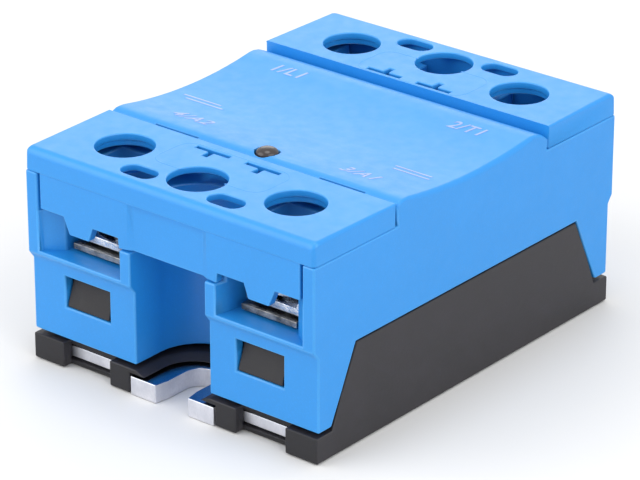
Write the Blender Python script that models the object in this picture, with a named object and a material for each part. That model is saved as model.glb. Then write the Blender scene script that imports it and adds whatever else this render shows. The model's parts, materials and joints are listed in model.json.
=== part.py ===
"""Solid state relay: a blue moulded housing on a black frame and an aluminium base plate, with two hinged
terminal flaps and four clamp terminals. +Z is up, X runs across the body and Y along it. The control end
is at -Y and the power end at +Y. The origin is the centre of the base plate's bottom face.
Dimensions below are in millimetres, and MM turns them into metres."""

import math

import bmesh
import bpy

MM = 0.001

# Outer sizes
HALF_WIDTH = 22.5
UPPER_END_Y = 29.5  # the overhanging upper pods
LOWER_END_Y = 28.7
HOUSING_BOTTOM_Z = 4.0
OVERHANG_LOW_Z, OVERHANG_HIGH_Z = 13.55, 14.6
SEAM_Z = 25.38  # top of the side walls, under the flaps
FLAP_BOTTOM_Z, FLAP_TOP_Z = 25.45, 28.4

# Central cover between the two flaps
COVER_NEAR_Y, COVER_FAR_Y = -14.1, 15.1
COVER_LOW_Z, COVER_LOW_Y, COVER_RISE, COVER_SPAN = 27.25, 1.0, 1.15, 13.0

# Walls and inner spaces
INNER_X = 20.7
INNER_Y = 27.2
CAVITY_TOP_Z = 13.0
UPPER_CAVITY_Z = 12.5
RECESS_R, RECESS_Y = 5.85, 24.0
RECESS_WALL = 1.5
SILL_Z = 15.05
PILLAR_TOP_Z = 19.0

# Terminals
TERMINAL_X, TERMINAL_Y = 13.35, 21.65
PLATE_Z0, PLATE_Z1 = 15.35, 16.15
CLAMP_Z0, CLAMP_Z1 = 16.5, 17.5
HEAD_Z0, HEAD_Z1, HEAD_R = 17.8, 20.4, 3.5
SCREW_TIP_Z = 10.4
SHANK_R = {-1: 2.0, 1: 2.5}  # M4 at the control end, M5 at the power end
NUT_SIDE = {-1: 7.0, 1: 8.0}

# Flaps
HINGE_Y = {-1: -14.6, 1: 15.43}
HINGE_Z = FLAP_TOP_Z
DRAFT = 0.05
FLAP_EDGE_R, FLAP_SIDE_R, FLAP_HINGE_EDGE_R = 1.0, 0.55, 0.25
SKIN_Z = 27.5  # underside of the flap's thin top
SKIRT_Y, SKIRT_MIDDLE_Y = 29.4, 29.1
ACCESS_R = 3.7
MIDDLE_HOLE_Y = 23.7
HOOK_SHIFT_X = {-1: 1.0, 1: 0.0}
HOOK_Z = {-1: (26.55, 27.25), 1: (25.75, 26.25)}

# Base
FRAME_Z0, FLANGE_Z0, FRAME_TOP_Z = 0.1, 2.75, 3.43
BLOCK_END_Y = 28.97
FRAME_RECESS_R, FRAME_RECESS_Y = 4.4, 25.1  # at the flange's underside
BASE_PLATE_TOP_Z = 2.45
BASE_PLATE_END_Y = 27.2
TONGUE_END_Y, TONGUE_X = 29.0, 6.6
WING_GAP = 0.12
SLOT_R, SLOT_Y = 2.25, 23.8  # mounting slots, 47.6 apart

# Electronics
BOARD_Z0, BOARD_Z1 = 17.5, 19.1
PARTS_Z = 19.4
LED_X, LED_Y = 1.0, -12.2
SUBSTRATE_Z0, SUBSTRATE_Z1 = 2.75, 3.38
PAD_Z0, PAD_Z1 = 3.68, 3.98
CHIP_Z0, CHIP_Z1 = 4.28, 4.68

COLOURS = {
    "blue_plastic": ((0.07, 0.36, 0.93, 1), 0.42, 0),
    "black_plastic": ((0.045, 0.045, 0.05, 1), 0.6, 0),
    "aluminium": ((0.78, 0.78, 0.80, 1), 0.3, 1),
    "tinned_brass": ((0.62, 0.60, 0.56, 1), 0.35, 1),
    "zinc_steel": ((0.66, 0.68, 0.70, 1), 0.25, 1),
    "lens_grey": ((0.30, 0.28, 0.28, 1), 0.2, 0),
    "led_epoxy": ((0.55, 0.75, 0.35, 1), 0.2, 0),
    "alumina": ((0.86, 0.86, 0.83, 1), 0.6, 0),
    "copper": ((0.80, 0.43, 0.28, 1), 0.35, 1),
    "silicon": ((0.20, 0.21, 0.25, 1), 0.15, 1),
    "board_green": ((0.05, 0.25, 0.10, 1), 0.45, 0),
    "black_epoxy": ((0.03, 0.03, 0.03, 1), 0.5, 0),
    "resistor_beige": ((0.72, 0.60, 0.42, 1), 0.5, 0),
    "film_yellow": ((0.80, 0.62, 0.12, 1), 0.45, 0),
    "varistor_blue": ((0.10, 0.20, 0.45, 1), 0.5, 0),
}


# ---- outlines, in mm ----

def arc(x, y, radius, start, stop, steps):
    """Points on a circle from one angle to another, in degrees, both ends included."""
    turns = [math.radians(start + (stop - start) * i / steps) for i in range(steps + 1)]
    return [(x + radius * math.cos(t), y + radius * math.sin(t)) for t in turns]


def flipped(points, end):
    """The outline of the near end, or the same one turned to the far end."""
    return [(a, -end * b) for a, b in points]


def mirrored(points, side):
    return [(side * a, b) for a, b in points]


def stadium(x, y, length, width, steps=8):
    reach, radius = (length - width) / 2, width / 2
    return arc(x + reach, y, radius, -90, 90, steps) + arc(x - reach, y, radius, 90, 270, steps)


# ---- closed shapes, each (points, faces) in mm ----

def prism(axis, outline, low, high):
    place = {
        "x": lambda a, b, h: (h, a, b),
        "y": lambda a, b, h: (a, h, b),
        "z": lambda a, b, h: (a, b, h),
    }[axis]
    n = len(outline)
    points = [place(a, b, low) for a, b in outline] + [place(a, b, high) for a, b in outline]
    sides = [(i, (i + 1) % n, n + (i + 1) % n, n + i) for i in range(n)]
    return points, [tuple(range(n)), tuple(range(n, 2 * n))] + sides


def loft(low_outline, low, high_outline, high):
    """A solid between two level outlines with the same number of points."""
    n = len(low_outline)
    points = [(a, b, low) for a, b in low_outline] + [(a, b, high) for a, b in high_outline]
    sides = [(i, (i + 1) % n, n + (i + 1) % n, n + i) for i in range(n)]
    return points, [tuple(range(n)), tuple(range(n, 2 * n))] + sides


def box(x0, x1, y0, y1, z0, z1):
    return prism("z", [(x0, y0), (x1, y0), (x1, y1), (x0, y1)], z0, z1)


def mirror_box(side, end, x0, x1, y0, y1, z0, z1):
    """A box given in positive x and y, at one of the four corners."""
    xs, ys = sorted((side * x0, side * x1)), sorted((end * y0, end * y1))
    return box(*xs, *ys, z0, z1)


def rod(axis, a, b, radius, low, high, sides=32):
    return prism(axis, arc(a, b, radius, 0, 360 - 360 / sides, sides - 1), low, high)


def turned(profile, x, y, sides=32):
    """A solid turned about a vertical axis, from (radius, z) points that start and end on the axis."""
    rings = profile[1:-1]
    points = [(x, y, profile[0][1])]
    for radius, z in rings:
        points += [(a, b, z) for a, b in arc(x, y, radius, 0, 360 - 360 / sides, sides - 1)]
    points.append((x, y, profile[-1][1]))
    last = len(points) - 1
    faces = []
    for i in range(sides):
        j = (i + 1) % sides
        faces.append((0, 1 + j, 1 + i))
        for k in range(len(rings) - 1):
            low, high = 1 + k * sides, 1 + (k + 1) * sides
            faces.append((low + i, low + j, high + j, high + i))
        top = 1 + (len(rings) - 1) * sides
        faces.append((top + i, top + j, last))
    return points, faces


def rounded_slab(x, y0, y1, z0, z1, inset, radii, corner=0.5, steps=5):
    """A slab whose top edges round over, and y0 is its upright inner end. The radii are those of the outer
    end, of the sides beside it and of the sides at y0. Towards y1 the sides also lean in by inset."""
    out = math.copysign(1, y1 - y0)

    def rounding(radius, lean):
        quarter = [math.radians(90 * i / steps) for i in range(steps + 1)]
        turns = [(lean + radius * (1 - math.cos(t)), z1 - radius * (1 - math.sin(t))) for t in quarter]
        return [(0, z0)] + turns

    points, faces = [], []
    rows = zip(rounding(radii[0], inset), rounding(radii[1], inset), rounding(radii[2], 0))
    for end, side, inner in rows:
        half, reach = x - side[0] - corner, abs(y1 - y0) - end[0] - corner
        turn = arc(half, reach, corner, 0, 90, 3)
        outer = [(a, y0 + out * b, side[1] + (end[1] - side[1]) * i / 3) for i, (a, b) in enumerate(turn)]
        outer += [(-a, b, z) for a, b, z in reversed(outer)]
        points += [(x - inner[0], y0, inner[1]), *outer, (inner[0] - x, y0, inner[1])]
    n = len(outer) + 2
    for k in range(steps + 1):
        faces += [(k * n + i, k * n + (i + 1) % n, (k + 1) * n + (i + 1) % n, (k + 1) * n + i)
                  for i in range(n)]
    return points, [tuple(range(n)), tuple(range(len(points) - n, len(points)))] + faces


# ---- objects ----

def clear_scene():
    for old in list(bpy.data.objects):
        bpy.data.objects.remove(old, do_unlink=True)


def make_materials():
    made = {}
    for name, (colour, roughness, metallic) in COLOURS.items():
        material = bpy.data.materials.new(name)
        material.use_nodes = True
        shader = material.node_tree.nodes["Principled BSDF"]
        shader.inputs["Base Color"].default_value = colour
        shader.inputs["Roughness"].default_value = roughness
        shader.inputs["Metallic"].default_value = metallic
        made[name] = material
    return made


def solid(name, shapes, material=None, origin=(0, 0, 0)):
    """One object from closed shapes that don't touch one another, with its origin placed in mm."""
    mesh = bpy.data.meshes.new(name)
    bm = bmesh.new()
    for points, faces in shapes:
        made = [bm.verts.new([(p - o) * MM for p, o in zip(point, origin)]) for point in points]
        for face in faces:
            bm.faces.new([made[i] for i in face])
    bmesh.ops.recalc_face_normals(bm, faces=bm.faces)
    bm.to_mesh(mesh)
    bm.free()
    made = bpy.data.objects.new(name, mesh)
    made.location = [value * MM for value in origin]
    bpy.context.scene.collection.objects.link(made)
    if material:
        mesh.materials.append(material)
    return made


def combine(target, name, shapes, operation):
    tool = solid(name, shapes)
    tool.hide_render = True
    tool.display_type = "WIRE"
    step = target.modifiers.new(name, "BOOLEAN")
    step.operation = operation
    step.solver = "EXACT"
    step.object = tool


def cut(target, name, shapes):
    combine(target, name, shapes, "DIFFERENCE")


def join(target, name, shapes):
    combine(target, name, shapes, "UNION")


def smooth(target, degrees=35):
    target.data.shade_smooth()
    target.data.set_sharp_from_angle(angle=math.radians(degrees))


CORNERS = [(side, end) for end in (-1, 1) for side in (-1, 1)]


# ---- housing ----

def cover_z(y):
    return COVER_LOW_Z + COVER_RISE * ((y - COVER_LOW_Y) / COVER_SPAN) ** 2


def housing_profile():
    """Side view, from the bottom near corner round to the near seam."""
    far_edge = [(15.1, 26.7), (14.85, 27.1), (14.3, 27.5), (13.5, 27.85), (12.6, 28.03)]
    saddle = [(y, cover_z(y)) for y in (11.5 - 23.3 * i / 12 for i in range(13))]
    near_edge = [(-12.7, 28.42), (-13.4, 28.36), (-14.0, 28.12), (-14.4, 27.6)]
    return [
        (-LOWER_END_Y, HOUSING_BOTTOM_Z),
        (LOWER_END_Y, HOUSING_BOTTOM_Z),
        (LOWER_END_Y, OVERHANG_LOW_Z),
        (UPPER_END_Y, OVERHANG_HIGH_Z),
        (UPPER_END_Y, SEAM_Z),
        (COVER_FAR_Y, SEAM_Z),
        *far_edge,
        *saddle,
        *near_edge,
        (COVER_NEAR_Y, SEAM_Z),
        (-UPPER_END_Y, SEAM_Z),
        (-UPPER_END_Y, OVERHANG_HIGH_Z),
        (-LOWER_END_Y, OVERHANG_LOW_Z),
    ]


def recess_outline(end, half, centre, reach=31.0, steps=16):
    """A U open towards one end, of this half width and with its round end centred at this distance."""
    near = [(half, -reach), *arc(0, -centre, half, 0, 180, steps), (-half, -reach)]
    return flipped(near, end)


def cavity_outline():
    """The lower inner space: a rectangle less the walls round both mounting recesses."""
    half = RECESS_R + RECESS_WALL
    near = [(-INNER_X, -INNER_Y), (-half, -INNER_Y), *arc(0, -RECESS_Y, half, 180, 0, 16)]
    near += [(half, -INNER_Y), (INNER_X, -INNER_Y)]
    return near + [(-x, -y) for x, y in near]


def well_outline(side, end):
    """A terminal well, funnelled at its wire entry."""
    near = [(7.5, -31), (7.5, -29.5), (8.1, -26.8), (8.1, -16.8), (18.2, -16.8), (18.2, -27.2)]
    near += [(20.45, -28.75), (INNER_X, -29.5), (INNER_X, -31)]
    return mirrored(flipped(near, end), side)


def wing_outline(inset, bottom):
    """The trapezoid in the side wall, shrunk by inset."""
    half = [(21.8, 13.42), (24.45, 7.8), (26.4, bottom)]
    right = [(y - inset, z - inset * (i == 0)) for i, (y, z) in enumerate(half)]
    return right + [(-y, z) for y, z in reversed(right)]


def add_housing(mats):
    body = solid("housing", [prism("x", housing_profile(), -HALF_WIDTH, HALF_WIDTH)],
                 mats["blue_plastic"])
    cut(body, "housing_cavity", [prism("z", cavity_outline(), 3, CAVITY_TOP_Z)])
    upper = [(-15.3, UPPER_CAVITY_Z), (15.3, UPPER_CAVITY_Z), (15.3, 23.8), (13.6, 23.8), (13.6, 25.4)]
    upper += [(-13.0, 25.4), (-13.0, 23.8), (-15.3, 23.8)]
    cut(body, "housing_upper_cavity", [prism("x", upper, -INNER_X, INNER_X)])
    join(body, "housing_bosses",
         [mirror_box(s, e, 8.9, 17.8, 17.4, 25.9, 9.0, 13.9) for s, e in CORNERS])
    cut(body, "housing_recesses",
        [prism("z", recess_outline(end, RECESS_R, RECESS_Y), 3, 26) for end in (-1, 1)])
    cut(body, "housing_wells", [prism("z", well_outline(s, e), SILL_Z, 26) for s, e in CORNERS])
    low_front = [box(-8.2, 8.2, *sorted((e * 31, e * 27.9)), PILLAR_TOP_Z, 26) for e in (-1, 1)]
    cut(body, "housing_inner_pillars", low_front)
    cut(body, "housing_outer_pillars",
        [mirror_box(s, e, 17.9, INNER_X, 27.9, 31, 20.4, 26) for s, e in CORNERS])
    wing = wing_outline(0, 3.8)
    cut(body, "housing_wings", [prism("x", wing, *sorted((s * 20, s * 23))) for s in (-1, 1)])
    cut(body, "housing_windows",
        [mirror_box(s, e, 10.0, 17.2, 26.5, 30, 8.3, 12.4) for s, e in CORNERS])
    cut(body, "housing_strip_slots",
        [mirror_box(s, e, 10.1, 16.6, 14.8, 17.2, 14.95, 16.45) for s, e in CORNERS])
    pockets = []
    for s, e in CORNERS:
        half = NUT_SIDE[e] / 2 + 0.25
        x, y = s * TERMINAL_X, e * TERMINAL_Y
        pockets.append(box(x - half, x + half, y - half, y + half, 11.2, 15.5))
    cut(body, "housing_nut_pockets", pockets)
    cut(body, "housing_screw_wells",
        [rod("z", s * TERMINAL_X, e * TERMINAL_Y, 2.9, 8, 11.6, 24) for s, e in CORNERS])
    notch = [(-14.7, 26.0), (-13.2, 26.0), (-13.2, 27.7), (-13.8, 27.7), (-13.8, 29), (-14.7, 29)]
    hooks = [prism("x", notch, *sorted(HOOK_SHIFT_X[-1] + s * x for x in (9.5, 16.3))) for s in (-1, 1)]
    hooks += [mirror_box(s, 1, 9.5, 16.7, 14.0, 15.5, 25.5, 26.55) for s in (-1, 1)]
    cut(body, "housing_hook_pockets", hooks)
    cut(body, "housing_led_hole", [rod("z", LED_X, LED_Y, 1.6, 22, 30, 24)])
    smooth(body)


# ---- flaps ----

def skirt_outline():
    """Front view of a flap's skirt, with its cut-outs for the wires."""
    half = [(20.3, 20.75), (16.55, 20.75), (15.6, 18.6), (12.5, 18.6), (11.8, 20.45)]
    half += [(7.8, 20.45), (7.65, 19.2), (5.4, 19.4)]
    return [(20.3, 25.9), *half, *[(-x, z) for x, z in reversed(half)], (-20.3, 25.9)]


def t_slot(side, end):
    near = [(-2.65, -16.75), (-0.4, -16.75), (-0.4, -18.1), (0.4, -18.1), (0.4, -16.75)]
    near += [(2.65, -16.75), (2.65, -16.05), (-2.65, -16.05)]
    return [(side * 3.9 + x, y) for x, y in flipped(near, end)]


def add_flap(name, end, mats):
    hinge = HINGE_Y[end]
    slab = rounded_slab(HALF_WIDTH, hinge, end * UPPER_END_Y, FLAP_BOTTOM_Z, FLAP_TOP_Z, DRAFT,
                        (FLAP_EDGE_R, FLAP_SIDE_R, FLAP_HINGE_EDGE_R))
    flap = solid(name, [slab], mats["blue_plastic"], (0, hinge, HINGE_Z))
    ys = sorted((hinge + end * 1.3, end * 28.2))
    cut(flap, name + "_hollow", [box(-21.2, 21.2, *ys, 25, SKIN_Z)])
    terminals = [(-TERMINAL_X, TERMINAL_Y), (TERMINAL_X, TERMINAL_Y)]
    join(flap, name + "_collars",
         [rod("z", x, end * y, 4.9, 26.7, 27.8, 32) for x, y in terminals])
    ys = sorted((end * 28.2, end * SKIRT_Y))
    join(flap, name + "_skirt", [prism("y", skirt_outline(), *ys)])
    sunk = [(-6.5, SKIRT_Y + 0.08), (-5.3, SKIRT_MIDDLE_Y), (5.3, SKIRT_MIDDLE_Y), (6.5, SKIRT_Y + 0.08)]
    cut(flap, name + "_skirt_middle", [prism("z", [(x, end * y) for x, y in sunk], 18, 25.25)])
    low, high = HOOK_Z[end]
    reach = sorted((hinge - end * 1.0, hinge + end * 0.6))
    join(flap, name + "_hooks",
         [box(*sorted(HOOK_SHIFT_X[end] + s * x for x in (9.9, 15.9)), *reach, low, high)
          for s in (-1, 1)])
    cut(flap, name + "_access",
        [rod("z", x, end * y, ACCESS_R, 24, 30, 48) for x, y in terminals + [(0, MIDDLE_HOLE_Y)]])
    cut(flap, name + "_counterbores",
        [rod("z", x, end * y, ACCESS_R + 0.22, 24, SKIN_Z, 48) for x, y in terminals])
    cut(flap, name + "_slots",
        [prism("z", stadium(s * 6.75, end * 26.4, 5.1, 2.9), 26.5, 30) for s in (-1, 1)])
    cut(flap, name + "_t_slots", [prism("z", t_slot(s, end), 26.5, 30) for s in (-1, 1)])
    smooth(flap)


# ---- base ----

def add_base_frame(mats):
    frame = solid("base_frame",
                  [box(-HALF_WIDTH, HALF_WIDTH, -BLOCK_END_Y, BLOCK_END_Y, FLANGE_Z0, FRAME_TOP_Z)],
                  mats["black_plastic"])
    cut(frame, "frame_window", [box(-16.5, 16.5, -13.5, 13.5, 2, 4)])
    slope = (RECESS_R - FRAME_RECESS_R) / (FRAME_TOP_Z - FLANGE_Z0)
    cut(frame, "frame_recesses",
        [loft(recess_outline(end, FRAME_RECESS_R - 0.2 * slope, FRAME_RECESS_Y), FLANGE_Z0 - 0.2,
              recess_outline(end, RECESS_R + 0.2 * slope, FRAME_RECESS_Y), FRAME_TOP_Z + 0.2)
         for end in (-1, 1)])
    cut(frame, "frame_notches", [mirror_box(s, e, 10.05, 17.6, 27.5, 30, 2, 4) for s, e in CORNERS])
    rail = [(17.6, -BLOCK_END_Y), (HALF_WIDTH, -BLOCK_END_Y), (HALF_WIDTH, BLOCK_END_Y)]
    rail += [(17.6, BLOCK_END_Y), (17.6, 27.5), (20.9, 27.5), (20.9, -27.5), (17.6, -27.5)]
    low = [prism("z", mirrored(rail, s), FRAME_Z0, 3.1) for s in (-1, 1)]
    low += [mirror_box(s, e, 6.8, 10.05, 27.5, BLOCK_END_Y, FRAME_Z0, 3.1) for s, e in CORNERS]
    join(frame, "frame_blocks", low)
    join(frame, "frame_rails",
         [mirror_box(s, e, 9.4, 18.2, 26.6, 27.6, FRAME_Z0, 0.75) for s, e in CORNERS])
    wing = wing_outline(WING_GAP, 3.1)
    join(frame, "frame_wings",
         [prism("x", wing, *sorted((s * 21.3, s * HALF_WIDTH))) for s in (-1, 1)])
    latch = [(-26.1, 3.1), (-26.1, 12.1), (-27.35, 12.1), (-28.6, 8.65), (-28.6, 8.45)]
    latch += [(-26.9, 8.45), (-26.9, 3.1)]
    arms = []
    for s, e in CORNERS:
        xs = sorted((s * 10.25, s * 16.95))
        arms.append(prism("x", [(-e * y, z) for y, z in latch], *xs))
    join(frame, "frame_latches", arms)


def add_base_plate(mats):
    slot = [(2.6, -TONGUE_END_Y), (SLOT_R, -27.0), *arc(0, -SLOT_Y, SLOT_R, 0, 180, 16)]
    slot += [(-SLOT_R, -27.0), (-2.6, -TONGUE_END_Y)]
    near = [(20.6, -BASE_PLATE_END_Y), (TONGUE_X, -BASE_PLATE_END_Y), (TONGUE_X, -TONGUE_END_Y)]
    near += [*slot, (-TONGUE_X, -TONGUE_END_Y), (-TONGUE_X, -BASE_PLATE_END_Y)]
    near += [(-20.6, -BASE_PLATE_END_Y)]
    outline = near + [(-x, -y) for x, y in near]
    plate = solid("base_plate", [prism("z", outline, 0, BASE_PLATE_TOP_Z)], mats["aluminium"])
    cut(plate, "plate_rebates",
        [mirror_box(s, e, 9.1, 18.5, 26.3, 28, -1, 0.95) for s, e in CORNERS])
    smooth(plate)


# ---- terminals ----

def add_terminal(name, side, end, mats):
    """A contact strip: its screw pad in the well, a neck through the wall and a leg at the inner end."""
    x, y = side * TERMINAL_X, end * TERMINAL_Y
    inner = 12.6 if end < 0 else 12.95
    tee = [(-4.2, 26.7), (4.2, 26.7), (4.2, 17.1), (2.9, 17.1), (2.9, inner), (-2.9, inner)]
    tee += [(-2.9, 17.1), (-4.2, 17.1)]
    strip = solid(name, [prism("z", [(x + a, end * b) for a, b in tee], PLATE_Z0, PLATE_Z1)],
                  mats["tinned_brass"], (x, y, PLATE_Z0))
    if end < 0:
        leg = [(-13.35, 15.5), (-12.55, 15.5), (-12.55, 20.6), (-13.35, 20.6)]
    else:
        leg = [(12.9, 16.0), (12.9, 5.1), (9.6, 5.1), (9.6, 4.3), (13.7, 4.3), (13.7, 16.0)]
    join(strip, name + "_leg", [prism("x", leg, x - 2.7, x + 2.7)])
    cut(strip, name + "_hole", [rod("z", x, y, SHANK_R[end] + 0.3, 14, 17, 24)])
    smooth(strip)


def add_clamp(name, side, end, mats):
    x, y = side * TERMINAL_X, end * TERMINAL_Y
    outline = [(-4.1, CLAMP_Z0), (4.1, CLAMP_Z0), (4.1, 18.2), (3.7, 18.2), (3.5, CLAMP_Z1)]
    outline += [(-3.5, CLAMP_Z1), (-3.7, 18.2), (-4.1, 18.2)]
    clamp = solid(name, [prism("y", [(x + a, z) for a, z in outline], y - 4.3, y + 4.3)],
                  mats["zinc_steel"], (x, y, CLAMP_Z0))
    cut(clamp, name + "_hole", [rod("z", x, y, SHANK_R[end] + 0.3, 16, 19, 24)])
    smooth(clamp)


def add_screw(name, side, end, mats):
    x, y, r = side * TERMINAL_X, end * TERMINAL_Y, SHANK_R[end]
    profile = [(0, SCREW_TIP_Z), (r - 0.5, SCREW_TIP_Z), (r, SCREW_TIP_Z + 0.5), (r, HEAD_Z0)]
    profile += [(HEAD_R, HEAD_Z0), (HEAD_R, HEAD_Z1 - 0.4), (HEAD_R - 0.4, HEAD_Z1), (0, HEAD_Z1)]
    screw = solid(name, [turned(profile, x, y)], mats["zinc_steel"], (x, y, HEAD_Z0))
    cross = [(0.5, 0.5), (0.5, 2.3), (-0.5, 2.3), (-0.5, 0.5), (-2.3, 0.5), (-2.3, -0.5)]
    cross += [(-a, -b) for a, b in cross]
    cut(screw, name + "_recess",
        [prism("z", [(x + a, y + b) for a, b in cross], HEAD_Z1 - 1.6, HEAD_Z1 + 1)])
    smooth(screw)


def add_nut(name, side, end, mats):
    x, y, half = side * TERMINAL_X, end * TERMINAL_Y, NUT_SIDE[end] / 2
    nut = solid(name, [box(x - half, x + half, y - half, y + half, 11.5, 14.8)],
                mats["zinc_steel"], (x, y, 11.5))
    cut(nut, name + "_thread", [rod("z", x, y, SHANK_R[end] + 0.08, 11, 16, 32)])
    smooth(nut)


# ---- electronics ----

def add_block(name, material, x0, x1, y0, y1, z0, z1):
    centre = ((x0 + x1) / 2, (y0 + y1) / 2, z0)
    solid(name, [box(x0, x1, y0, y1, z0, z1)], material, centre)


def add_power_stage(mats):
    """Two thyristor chips in antiparallel on a ceramic substrate, each strapped to the other's pad."""
    add_block("ceramic_substrate", mats["alumina"], -15.5, 15.5, -12.2, 12.2,
              SUBSTRATE_Z0, SUBSTRATE_Z1)
    for side, label in ((-1, "line"), (1, "load")):
        xs = sorted((side * 0.6, side * 14.6))
        add_block("copper_pad_" + label, mats["copper"], *xs, -2.2, 11.6, PAD_Z0, PAD_Z1)
        xs = sorted((side * 5.4, side * 9.4))
        add_block("gate_pad_" + label, mats["copper"], *xs, -7.0, -3.2, PAD_Z0, PAD_Z1)
        xs = sorted((side * 3.2, side * 11.6))
        add_block("thyristor_" + label, mats["silicon"], *xs, -1.8, 6.6, CHIP_Z0, CHIP_Z1)
        strap = [(10.4, 4.98), (10.4, 5.5), (-2.7, 5.5), (-2.7, 4.28), (-2.1, 4.28), (-2.1, 4.98)]
        ys = (3.4, 6.0) if side < 0 else (-1.2, 1.4)
        solid("cathode_strap_" + label, [prism("y", mirrored(strap, side), *ys)],
              mats["copper"], (side * 7.4, sum(ys) / 2, 4.98))
        pin = solid("gate_pin_" + label, [rod("z", side * 7.4, -5.1, 0.4, 4.28, 17.2, 16)],
                    mats["tinned_brass"], (side * 7.4, -5.1, 4.28))
        smooth(pin)


def add_control_board(mats):
    outline = [(-19.5, -11.8), (-8.5, -11.8), (-8.5, -14.4), (8.5, -14.4), (8.5, -11.8)]
    outline += [(19.5, -11.8), (19.5, 12.4), (-19.5, 12.4)]
    solid("control_board", [prism("z", outline, BOARD_Z0, BOARD_Z1)], mats["board_green"],
          (0, 0, BOARD_Z0))
    add_block("optocoupler", mats["black_epoxy"], -4.4, 4.4, -3.2, 3.2, PARTS_Z, 22.9)
    add_block("bridge_rectifier", mats["black_epoxy"], -14.0, -7.8, -9.6, -4.8, PARTS_Z, 22.0)
    add_block("snubber_capacitor", mats["film_yellow"], 6.6, 18.2, 3.4, 9.0, PARTS_Z, 24.6)
    add_block("drive_transistor", mats["black_epoxy"], -1.6, 2.8, 7.2, 9.6, PARTS_Z, 22.6)
    rods = {
        "input_resistor_1": (rod("x", -9.4, 20.75, 1.2, 7.4, 16.6, 20), "resistor_beige"),
        "input_resistor_2": (rod("x", -5.6, 20.75, 1.2, 7.4, 16.6, 20), "resistor_beige"),
        "snubber_resistor": (rod("x", 8.6, 21.0, 1.45, -17.2, -6.2, 20), "resistor_beige"),
        "varistor": (rod("x", 2.0, 22.3, 2.7, -15.6, -13.4, 24), "varistor_blue"),
    }
    for name, (shape, colour) in rods.items():
        smooth(solid(name, [shape], mats[colour]))


def add_indicator(mats):
    dome = [(1.45 * math.cos(a), 23.0 + 1.1 * math.sin(a)) for a in (0.4, 0.8, 1.2)]
    led = [(0, PARTS_Z), (1.45, PARTS_Z), (1.45, 23.0), *dome, (0, 24.1)]
    smooth(solid("led", [turned(led, LED_X, LED_Y, 24)], mats["led_epoxy"],
                 (LED_X, LED_Y, PARTS_Z)), 50)
    dome = [(1.42 * math.cos(a), 28.25 + 0.7 * math.sin(a)) for a in (0.3, 0.6, 0.9, 1.2)]
    lens = [(0, 24.5), (1.42, 24.5), (1.42, 28.25), *dome, (0, 28.95)]
    smooth(solid("led_lens", [turned(lens, LED_X, LED_Y, 24)], mats["lens_grey"],
                 (LED_X, LED_Y, 24.5)), 50)


def main():
    clear_scene()
    mats = make_materials()
    add_housing(mats)
    add_flap("control_flap", -1, mats)
    add_flap("power_flap", 1, mats)
    add_base_frame(mats)
    add_base_plate(mats)
    labels = {(-1, -1): "a2", (1, -1): "a1", (-1, 1): "l1", (1, 1): "t1"}
    for (side, end), label in labels.items():
        kind = ("control_" if end < 0 else "power_")
        add_terminal(kind + "terminal_" + label, side, end, mats)
        add_clamp(kind + "clamp_" + label, side, end, mats)
        add_screw(kind + "screw_" + label, side, end, mats)
        add_nut(kind + "nut_" + label, side, end, mats)
    add_power_stage(mats)
    add_control_board(mats)
    add_indicator(mats)


main()
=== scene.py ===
"""The looks of a solid state relay: a blue moulded housing with two hinged terminal flaps, on a black frame
and an aluminium base plate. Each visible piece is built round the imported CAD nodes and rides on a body."""

import json
import math

import bmesh
import bpy
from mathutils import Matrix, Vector, geometry
from mathutils.bvhtree import BVHTree


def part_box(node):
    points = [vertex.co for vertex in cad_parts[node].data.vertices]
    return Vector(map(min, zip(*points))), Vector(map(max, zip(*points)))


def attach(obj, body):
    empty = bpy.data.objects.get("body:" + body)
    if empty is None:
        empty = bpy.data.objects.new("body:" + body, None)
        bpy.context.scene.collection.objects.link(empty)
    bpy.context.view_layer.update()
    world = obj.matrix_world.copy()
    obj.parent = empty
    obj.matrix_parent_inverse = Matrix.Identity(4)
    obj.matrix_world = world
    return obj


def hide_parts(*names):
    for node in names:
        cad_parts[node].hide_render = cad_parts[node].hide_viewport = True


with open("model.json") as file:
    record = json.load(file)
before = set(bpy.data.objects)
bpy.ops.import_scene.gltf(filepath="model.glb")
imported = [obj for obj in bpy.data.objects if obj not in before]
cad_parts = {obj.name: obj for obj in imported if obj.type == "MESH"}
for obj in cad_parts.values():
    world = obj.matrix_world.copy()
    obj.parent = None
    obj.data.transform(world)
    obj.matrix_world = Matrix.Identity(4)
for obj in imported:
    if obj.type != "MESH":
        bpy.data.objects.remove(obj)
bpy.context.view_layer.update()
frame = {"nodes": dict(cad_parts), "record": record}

MM = 0.001
NODES = frame["nodes"]
BODY_OF = {node: body for body, nodes in frame["record"]["behaviour"]["bodies"].items() for node in nodes}
FLAT = math.radians(0.5)  # faces this nearly level with each other are one face
SHARP = math.radians(25)  # edges over this are rounded
WELD = 0.002 * MM  # corners this close are one corner
LEAST_ROOM = 0.04 * MM  # an edge with less room than this stays sharp
ROOM_SHARE = 0.45  # how much of the room beside an edge its rounding may take
HEIGHT_OF_COVER_EDGE = 27 * MM  # the cover's long side edges lie above this


# ---- materials ----

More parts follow.
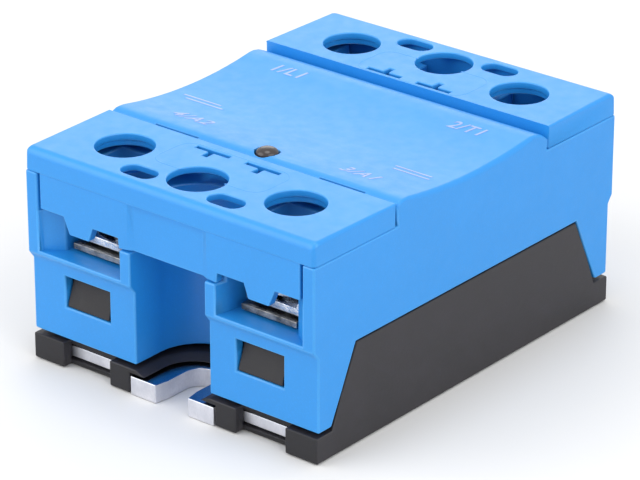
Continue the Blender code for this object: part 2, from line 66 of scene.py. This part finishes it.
class Graph:
    """One material's node tree, with short ways to add the nodes that recur."""

    def __init__(self, name, **shader):
        self.material = bpy.data.materials.new(name)
        self.material.use_nodes = True
        self.tree = self.material.node_tree
        self.shader = self.tree.nodes["Principled BSDF"]
        for key, value in shader.items():
            self.shader.inputs[key.replace("_", " ")].default_value = value
        self.place = self.tree.nodes.new("ShaderNodeTexCoord").outputs["Object"]

    def add(self, kind, inputs, **settings):
        node = self.tree.nodes.new("ShaderNode" + kind)
        for key, value in settings.items():
            setattr(node, key, value)
        for key, value in inputs.items():
            if isinstance(value, bpy.types.NodeSocket):
                self.tree.links.new(value, node.inputs[key])
            else:
                node.inputs[key].default_value = value
        return node

    def stretched(self, x, y, z):
        return self.add("Mapping", {"Vector": self.place, "Scale": (x, y, z)}).outputs["Vector"]

    def noise(self, size, detail=3.0, roughness=0.55, place=None, distortion=0.0):
        """Noise whose blobs are about this many millimetres across, from 0 to 1."""
        inputs = {"Vector": place or self.place, "Scale": 1 / (size * MM), "Detail": detail,
                  "Roughness": roughness, "Distortion": distortion}
        return self.add("TexNoise", inputs).outputs["Fac"]

    def spread(self, value, low, high, start=0.3, stop=0.7):
        inputs = {"Value": value, "From Min": start, "From Max": stop, "To Min": low, "To Max": high}
        return self.add("MapRange", inputs).outputs["Result"]

    def plus(self, a, b):
        return self.add("Math", {0: a, 1: b}, operation="ADD").outputs[0]

    def mix(self, share, first, second):
        node = self.add("Mix", {0: share, 6: first, 7: second}, data_type="RGBA")
        return node.outputs[2]

    def bump(self, height, depth, below=None):
        """Relief of this many millimetres from a height of 0 to 1."""
        inputs = {"Height": height, "Distance": depth * MM, "Strength": 1.0}
        if below:
            inputs["Normal"] = below
        return self.add("Bump", inputs).outputs["Normal"]

    def finish(self, **sockets):
        for key, value in sockets.items():
            self.tree.links.new(value, self.shader.inputs[key.replace("_", " ")])
        return self.material


def rgb(red, green, blue):
    return (red, green, blue, 1.0)


def shade(colour, factor):
    return (*(channel * factor for channel in colour[:3]), 1.0)


def moulded_plastic(name, colour, gloss, grain_depth, grain_size=0.22, vary=0.05, speckle=0.2):
    """Injection-moulded plastic: a fine eroded grain, slow sink marks, and an uneven tint and gloss."""
    g = Graph(name, IOR=1.5)
    cloud = g.noise(9, 4, 0.6)
    grain = g.noise(grain_size, 4, 0.6)
    tint = g.mix(g.spread(cloud, 0, 1), shade(colour, 1 - vary), shade(colour, 1 + vary))
    tint = g.mix(g.spread(grain, 0.0, speckle, 0.5, 0.8), tint, shade(colour, 1.6))
    rough = g.plus(g.spread(g.noise(1.6, 3), gloss - 0.05, gloss + 0.05), g.spread(grain, -0.03, 0.03))
    relief = g.bump(grain, grain_depth, g.bump(cloud, 0.008))
    return g.finish(Base_Color=tint, Roughness=rough, Normal=relief)


def mottled_plastic(name, colour, gloss):
    """Glass-filled black plastic, with the pale cloudy flow marks that the glass leaves at the surface."""
    g = Graph(name, IOR=1.5)
    flow = g.noise(3.2, 6, 0.72, g.stretched(1, 0.8, 1.1), 0.6)
    fibre = g.noise(0.28, 5, 0.7, g.stretched(1, 0.6, 1.2))
    tint = g.mix(g.spread(flow, 0, 1, 0.42, 0.68), shade(colour, 0.85), shade(colour, 1.45))
    tint = g.mix(g.spread(fibre, 0, 0.5, 0.5, 0.75), tint, shade(colour, 2.1))
    rough = g.plus(g.spread(flow, gloss - 0.07, gloss + 0.08), g.spread(fibre, -0.05, 0.05))
    return g.finish(Base_Color=tint, Roughness=rough, Normal=g.bump(fibre, 0.012, g.bump(flow, 0.02)))


def metal(name, deep, light, gloss, scratch_depth, stretch=(1, 1, 1), size=0.12):
    """Plated or rolled metal, with brushed streaks along the axis that is stretched least."""
    g = Graph(name, Metallic=1.0)
    streak = g.noise(size, 5, 0.65, g.stretched(*stretch))
    cloud = g.noise(2.5, 4, 0.6)
    tint = g.mix(g.spread(cloud, 0, 1), deep, light)
    tint = g.mix(g.spread(streak, 0, 0.5, 0.45, 0.75), tint, deep)
    rough = g.plus(g.spread(streak, gloss - 0.06, gloss + 0.08), g.spread(cloud, -0.03, 0.05))
    return g.finish(Base_Color=tint, Roughness=rough, Normal=g.bump(streak, scratch_depth))


BLUE = moulded_plastic("blue_plastic", rgb(0.0155, 0.236, 0.63), 0.42, 0.004, vary=0.02)
# a lighter blue for the rounded edges only: a painted highlight along them
BLUE_EDGE_HIGHLIGHT = moulded_plastic("blue_plastic_painted_edge_highlight", rgb(0.035, 0.275, 0.66), 0.36, 0.002)
BLACK = mottled_plastic("black_plastic", rgb(0.0160, 0.0148, 0.0188), 0.53)
# a darker copy of the black for the frame's faces turned to the ends: painted shade
BLACK_END_SHADED = mottled_plastic("black_plastic_end_painted_shade", rgb(0.0085, 0.0080, 0.0105), 0.64)
SAWN = metal("aluminium_sawn", rgb(0.62, 0.63, 0.68), rgb(0.80, 0.80, 0.84), 0.55, 0.010, (1, 1, 0.25))
ROLLED = metal("aluminium_rolled", rgb(0.48, 0.52, 0.58), rgb(0.60, 0.64, 0.70), 0.16, 0.001, (1, 0.08, 1))
BRASS = metal("tinned_brass", rgb(0.05, 0.05, 0.05), rgb(0.62, 0.60, 0.56), 0.30, 0.060,
              (0.4, 1, 2.5), 0.35)
ZINC = metal("zinc_steel", rgb(0.22, 0.27, 0.35), rgb(0.88, 0.92, 0.98), 0.14, 0.090, size=0.9)
LENS = moulded_plastic("lens_grey", rgb(0.034, 0.027, 0.027), 0.20, 0.002, 0.3, 0.15, 0.3)
INK = moulded_plastic("printing_ink", rgb(0.26, 0.35, 0.60), 0.50, 0.004, 0.12, 0.12, 0.3)
SLOTS = {  # the finish of each of the record's material slots
    "blue_plastic": BLUE,
    "black_plastic": BLACK,
    "aluminium": SAWN,
    "tinned_brass": BRASS,
    "zinc_steel": ZINC,
    "lens_grey": LENS,
    "led_epoxy": moulded_plastic("led_epoxy", rgb(0.45, 0.62, 0.28), 0.2, 0.002),
    "alumina": moulded_plastic("alumina", rgb(0.80, 0.80, 0.76), 0.6, 0.006),
    "copper": metal("copper", rgb(0.60, 0.28, 0.18), rgb(0.80, 0.43, 0.28), 0.35, 0.004, (1, 0.2, 1)),
    "silicon": metal("silicon", rgb(0.14, 0.15, 0.18), rgb(0.24, 0.25, 0.30), 0.14, 0.001),
    "board_green": moulded_plastic("board_green", rgb(0.03, 0.17, 0.07), 0.4, 0.010, 0.4, 0.15),
    "black_epoxy": moulded_plastic("black_epoxy", rgb(0.022, 0.022, 0.022), 0.5, 0.010),
    "resistor_beige": moulded_plastic("resistor_beige", rgb(0.60, 0.46, 0.30), 0.45, 0.008),
    "film_yellow": moulded_plastic("film_yellow", rgb(0.70, 0.50, 0.08), 0.4, 0.006),
    "varistor_blue": moulded_plastic("varistor_blue", rgb(0.06, 0.13, 0.36), 0.45, 0.008),
}


# ---- rounding ----

def apart(a, b):
    """The least distance between two edges, measured from their ends."""
    least = math.inf
    for one, other in ((a, b), (b, a)):
        start, end = (vert.co for vert in other.verts)
        for vert in one.verts:
            share = geometry.intersect_point_line(vert.co, start, end)[1]
            nearest = start.lerp(end, min(1.0, max(0.0, share)))
            least = min(least, (vert.co - nearest).length)
    return least


def room_beside(edge):
    """How far an edge is from the other edges of its two faces, which limits how round it can be."""
    mine = set(edge.verts)
    others = [other for face in edge.link_faces for other in face.edges if not mine & set(other.verts)]
    return min((apart(edge, other) for other in others), default=0.0)


def is_flat(edge):
    return len(edge.link_faces) == 2 and abs(edge.calc_face_angle()) < FLAT


def squareness(edge, flat):
    """The smallest angle that a cut across a flat face makes with the sharp edges it ends on."""
    least = math.pi
    for vert in edge.verts:
        along = edge.other_vert(vert).co - vert.co
        for side in vert.link_edges:
            if side not in flat:
                least = min(least, along.angle(side.other_vert(vert).co - vert.co, math.pi))
    return least


def join_flat_faces(bm):
    """Makes each flat region as few faces as it can be. A face can't have a hole, so a few cuts stay, and the
    ones that stay meet the sharp edges squarely, because one that runs beside an edge spoils its rounding."""
    bmesh.ops.remove_doubles(bm, verts=bm.verts, dist=WELD)
    bmesh.ops.dissolve_limit(bm, angle_limit=FLAT, verts=bm.verts, edges=bm.edges)
    many_sided = [face for face in bm.faces if len(face.verts) > 3]
    bmesh.ops.triangulate(bm, faces=many_sided, ngon_method="BEAUTY")
    bm.edges.index_update()
    flat = {edge for edge in bm.edges if is_flat(edge)}
    order = sorted(flat, key=lambda edge: (round(squareness(edge, flat), 3), edge.index))
    for edge in order:
        if not edge.is_valid or len(edge.link_faces) != 2:
            continue
        one, other = edge.link_faces
        if len(set(one.verts) & set(other.verts)) == 2:
            bmesh.utils.face_join((one, other), True)


def weigh_edges(bm, width, soft, soft_width):
    """Each convex sharp edge's share of the full rounding, less where it has little room, and none where the
    room is too small to show. soft says which edges are rounded more, in a step of their own. A sharp edge
    that isn't rounded is marked, so that shading breaks there."""
    fine = bm.edges.layers.float.new("bevel_weight_edge")
    broad = bm.edges.layers.float.new("soft_weight")
    for edge in bm.edges:
        if len(edge.link_faces) != 2 or edge.calc_face_angle() < SHARP:
            continue
        room = ROOM_SHARE * room_beside(edge) if edge.is_convex else 0.0
        if soft and soft(edge):
            edge[broad] = min(1.0, room / soft_width)
        elif room > LEAST_ROOM:
            edge[fine] = min(1.0, room / width)
        else:
            edge.smooth = False


def round_edges(piece, name, width, layer, segments, material=-1):
    """Rounds the edges that have a weight in this layer. The new faces take this material, or their
    neighbours' if it is -1."""
    rounding = piece.modifiers.new(name, "BEVEL")
    rounding.limit_method, rounding.edge_weight = "WEIGHT", layer
    rounding.width, rounding.segments = width, segments
    rounding.material = material
    rounding.use_clamp_overlap = False


# ---- pieces ----

def link(name, mesh, body):
    piece = bpy.data.objects.new(name, mesh)
    bpy.context.scene.collection.objects.link(piece)
    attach(piece, body)
    return piece


def shell(node, materials, width=0.25, soft=None, soft_width=0.7, choose=None):
    """A piece that stands for a CAD node: its own mesh, with flat faces made whole and sharp edges rounded by
    width mm. Where choose says a face's material the rounding follows it, and else it takes the last one,
    which on the blue pieces is a lighter blue that paints a highlight along the rounded edges."""
    mesh = bpy.data.meshes.new(node + "_shell")
    bm = bmesh.new()
    bm.from_mesh(NODES[node].data)
    join_flat_faces(bm)
    for face in bm.faces:
        face.smooth = True
        face.material_index = choose(face) if choose else 0
    weigh_edges(bm, width * MM, soft, soft_width * MM)
    bm.to_mesh(mesh)
    bm.free()
    for material in materials:
        mesh.materials.append(material)
    piece = link(node + "_shell", mesh, BODY_OF[node])
    if soft:
        round_edges(piece, "soft_rounding", soft_width * MM, "soft_weight", 4)
    # on the blue pieces the rounding takes the last material, the lighter blue that paints an edge highlight
    painted_highlight_material = -1 if choose or len(materials) == 1 else len(materials) - 1
    round_edges(piece, "rounding", width * MM, "bevel_weight_edge", 3, painted_highlight_material)
    facing = piece.modifiers.new("facing", "WEIGHTED_NORMAL")
    facing.keep_sharp, facing.weight = True, 80
    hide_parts(node)


def on_cover_side(edge):
    """Whether this is one of the long edges between the hollowed top of the housing and its sides."""
    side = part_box("housing")[1].x - 0.05 * MM
    upright = any(abs(face.normal.x) > 0.9 for face in edge.link_faces)
    level = any(face.normal.z > 0.6 for face in edge.link_faces)
    high = all(abs(vert.co.x) > side and vert.co.z > HEIGHT_OF_COVER_EDGE for vert in edge.verts)
    return upright and level and high


# index 1 gives the frame's end faces the darker black, which paints shade on them
def faces_an_end(face):
    return int(abs(face.normal.y) > 0.6)


def faces_up_or_down(face):
    return int(abs(face.normal.z) > 0.9)


def make_shells():
    shell("housing", (BLUE, BLUE_EDGE_HIGHLIGHT), soft=on_cover_side)
    for node in ("control_flap", "power_flap"):
        shell(node, (BLUE, BLUE_EDGE_HIGHLIGHT), 0.16)
    # the frame's end faces take the darker black, a painted shade
    shell("base_frame", (BLACK, BLACK_END_SHADED), 0.2, choose=faces_an_end)
    shell("base_plate", (SAWN, ROLLED), 0.12, choose=faces_up_or_down)
    for node in NODES:
        if "_clamp_" in node or "_screw_" in node or "_nut_" in node:
            shell(node, (ZINC,), 0.12)
        elif "_terminal_" in node:
            shell(node, (BRASS,), 0.08)


def turned_mesh(name, profile, x, y, sides=48):
    """A closed mesh turned about a vertical axis from (radius, z) points that start and end on the axis."""
    mesh = bpy.data.meshes.new(name)
    bm = bmesh.new()
    turns = [2 * math.pi * i / sides for i in range(sides)]
    rings = [[bm.verts.new((x + r * math.cos(t), y + r * math.sin(t), z)) for t in turns]
             for r, z in profile[1:-1]]
    for low, high in zip(rings, rings[1:]):
        for i in range(sides):
            j = (i + 1) % sides
            bm.faces.new((low[i], low[j], high[j], high[i]))
    for (_, z), ring in ((profile[0], rings[0][::-1]), (profile[-1], rings[-1])):
        tip = bm.verts.new((x, y, z))
        for i in range(sides):
            bm.faces.new((ring[i], ring[(i + 1) % sides], tip))
    for face in bm.faces:
        face.smooth = True
    bm.to_mesh(mesh)
    bm.free()
    mesh.set_sharp_from_angle(angle=math.radians(50))
    return mesh


def make_lens():
    """The indicator's smoked dome, on the lens's own stem."""
    low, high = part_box("led_lens")
    x, y, radius = (low.x + high.x) / 2, (low.y + high.y) / 2, (high.x - low.x) / 2
    rise = 0.8 * MM
    dome = [(radius * math.cos(math.radians(a)), high.z - rise + rise * math.sin(math.radians(a)))
            for a in range(0, 90, 9)]
    profile = [(0, low.z), (radius, low.z), *dome, (0, high.z)]
    lens = link("lens_dome", turned_mesh("lens_dome", profile, x, y), BODY_OF["led_lens"])
    lens.data.materials.append(LENS)
    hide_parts("led_lens")


def lay_on_cover(name, mesh, lift=0.03, sink=0.10):
    """Drapes a mesh that stands on z = 0 over the housing, as a film of ink that reaches a little way in."""
    cad = NODES["housing"].data
    corners, faces = [vert.co for vert in cad.vertices], [face.vertices for face in cad.polygons]
    surface = BVHTree.FromPolygons(corners, faces)
    for vert in mesh.vertices:
        level = surface.ray_cast(Vector((vert.co.x, vert.co.y, 1)), Vector((0, 0, -1)))[0].z
        vert.co.z = level + (lift if vert.co.z > 0 else -sink) * MM
    mesh.materials.append(INK)
    link(name, mesh, "base")


def print_text(name, text, left, baseline, width, height):
    """Slanted lettering, with its baseline along X, fitted to a width and to a height of capitals, in mm."""
    letters = bpy.data.curves.new(name, "FONT")
    letters.body, letters.shear, letters.extrude, letters.offset = text, 0.28, 0.5, 0.016
    letters.resolution_u, letters.space_character = 4, 1.12
    holder = bpy.data.objects.new(name + "_letters", letters)
    bpy.context.scene.collection.objects.link(holder)
    evaluated = holder.evaluated_get(bpy.context.evaluated_depsgraph_get())
    mesh = bpy.data.meshes.new_from_object(evaluated)
    bpy.data.objects.remove(holder, do_unlink=True)
    xs, ys = [v.co.x for v in mesh.vertices], [v.co.y for v in mesh.vertices]
    for vert in mesh.vertices:
        vert.co.x = (left + (vert.co.x - min(xs)) / (max(xs) - min(xs)) * width) * MM
        vert.co.y = (baseline + (vert.co.y - min(ys)) / (max(ys) - min(ys)) * height) * MM
    lay_on_cover(name, mesh)


def print_bar(name, left, right, y, thick=0.30, steps=8):
    """A plain bar along X with slanted ends, in mm, in steps that let it follow the cover."""
    mesh = bpy.data.meshes.new(name)
    bm = bmesh.new()
    outline = [(left + (right - left) * i / steps, y) for i in range(steps + 1)]
    outline += [(x + 0.3 * thick, y + thick) for x, _ in reversed(outline)]
    low = [bm.verts.new((x * MM, b * MM, -MM)) for x, b in outline]
    high = [bm.verts.new((x * MM, b * MM, MM)) for x, b in outline]
    bm.faces.new(low[::-1])
    bm.faces.new(high)
    for i in range(len(outline)):
        j = (i + 1) % len(outline)
        bm.faces.new((low[i], low[j], high[j], high[i]))
    bm.to_mesh(mesh)
    bm.free()
    lay_on_cover(name, mesh)


def make_printing():
    """The standard terminal designations, and the two pairs of bars beside the control terminals."""
    for name, text, left, baseline, width, height in (
            ("print_4_A2", "4/A2", -16.2, -10.3, 5.9, 1.95), ("print_3_A1", "3/A1", 10.6, -10.6, 5.3, 1.95),
            ("print_1_L1", "1/L1", -16.6, 9.2, 4.9, 1.85), ("print_2_T1", "2/T1", 11.7, 8.8, 5.2, 1.85)):
        print_text(name, text, left, baseline, width, height)
    for name, left, right, y in (("bar_left_1", -20.2, -14.2, -3.3), ("bar_left_2", -19.2, -13.2, -4.15),
                                 ("bar_right_1", 14.2, 19.6, -4.3), ("bar_right_2", 14.5, 19.9, -5.2)):
        print_bar(name, left, right, y)


def bead_mesh(name, path, z, width, rise, sink=0.08):
    """A low moulded bead along an open path on a level face, in mm, sunk a little into it and closed."""
    mesh = bpy.data.meshes.new(name)
    bm = bmesh.new()
    rows = []
    for i, point in enumerate(path):
        ahead = Vector(path[min(i + 1, len(path) - 1)]) - Vector(path[max(i - 1, 0)])
        across = Vector((-ahead.y, ahead.x)).normalized() * width / 2
        middle = Vector(point)
        section = ((middle - across, 0), (middle, rise), (middle + across, 0), (middle, -sink))
        rows.append([bm.verts.new((p.x * MM, p.y * MM, z + up * MM)) for p, up in section])
    for one, other in zip(rows, rows[1:]):
        for k in range(4):
            bm.faces.new((one[k], one[(k + 1) % 4], other[(k + 1) % 4], other[k]))
    bm.faces.new(rows[0])
    bm.faces.new(rows[-1][::-1])
    bmesh.ops.recalc_face_normals(bm, faces=bm.faces)
    bm.to_mesh(mesh)
    bm.free()
    return mesh


def quarter_turn(x, y, radius, start, end):
    """Points round a corner, from its centre and first angle. y is measured outwards from the middle."""
    angles = [math.radians(start + 15 * i) for i in range(7)]
    return [(x + radius * math.cos(a), end * (y - radius * math.sin(a))) for a in angles]


def make_flap_beads():
    """The faint outline moulded on each flap, round its two T-shaped slots and up to the middle hole."""
    half, near, far, radius, hole = 8.4, 15.7, 22.8, 1.9, 3.4
    width, rise = 0.22, 0.022
    for node, end in (("control_flap", -1), ("power_flap", 1)):
        right = quarter_turn(half - radius, near + radius, radius, 0, end)[::-1]
        right += quarter_turn(half - radius, far - radius, radius, -90, end)[::-1]
        right.append((hole, end * far))
        path = [(-x, y) for x, y in reversed(right)] + right
        name, top = node + "_outline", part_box(node)[1].z
        bead = link(name, bead_mesh(name, path, top, width, rise), BODY_OF[node])
        bead.data.materials.append(BLUE)


def paint_cad():
    """The CAD nodes that still show, which are the parts inside the housing, get full materials."""
    for cad in NODES.values():
        for slot in cad.material_slots:
            slot.material = SLOTS[slot.material.name.split(".")[0]]


# ---- stage ----

def make_floor(reach=4.0):
    """A pale paper floor, a little below the relay."""
    mesh = bpy.data.meshes.new("floor")
    bm = bmesh.new()
    bm.faces.new([bm.verts.new((x * reach, y * reach, 0)) for x, y in ((-1, -1), (1, -1), (1, 1), (-1, 1))])
    bm.to_mesh(mesh)
    bm.free()
    floor = bpy.data.objects.new("floor", mesh)
    bpy.context.scene.collection.objects.link(floor)
    g = Graph("floor_paper", Roughness=0.9)
    paper = g.mix(g.noise(40), rgb(0.67, 0.67, 0.67), rgb(0.69, 0.69, 0.69))
    mesh.materials.append(g.finish(Base_Color=paper))
    floor.location.z = -0.05 * MM


def make_light(name, place, aim, size, watts):
    """A round soft light of this size in metres, turned towards a point."""
    light = bpy.data.lights.new(name, "AREA")
    light.shape, light.size, light.energy = "DISK", size, watts
    lamp = bpy.data.objects.new(name, light)
    bpy.context.scene.collection.objects.link(lamp)
    lamp.location = place
    lamp.rotation_euler = (Vector(aim) - Vector(place)).to_track_quat("-Z", "Y").to_euler()


def make_lights():
    world = bpy.data.worlds.new("studio")
    bpy.context.scene.world = world
    world.use_nodes = True
    background = world.node_tree.nodes["Background"]
    background.inputs["Color"].default_value = rgb(1.0, 1.0, 1.0)
    background.inputs["Strength"].default_value = 0.95
    make_light("overhead", (-0.02, 0.02, 0.60), (0, 0, 0), 0.30, 0.8)
    make_light("key_left", (-0.36, -0.46, 0.34), (0, 0, 0.01), 0.70, 2.65)
    make_light("key_right", (0.55, -0.05, 0.34), (0, 0, 0.01), 0.70, 2.15)
    make_light("sheen", (-0.42, 0.51, 0.30), (0, 0, 0.01), 0.42, 0.6)


def make_camera():
    """A long lens, aimed from these degrees round from the near end and up."""
    azimuth, elevation = 39.396, 24.546
    camera = bpy.data.cameras.new("camera")
    camera.sensor_width, camera.lens = 36.0, 204.35
    camera.clip_start, camera.clip_end = 0.01, 20
    holder = bpy.data.objects.new("camera", camera)
    bpy.context.scene.collection.objects.link(holder)
    holder.location = (0.25922, -0.31668, 0.19903)
    holder.rotation_euler = (math.radians(90 - elevation), 0, math.radians(azimuth))
    bpy.context.scene.camera = holder


make_shells()
make_lens()
make_printing()
make_flap_beads()
paint_cad()
make_floor()
make_lights()
make_camera()
bpy.context.scene.view_settings.view_transform = "Standard"
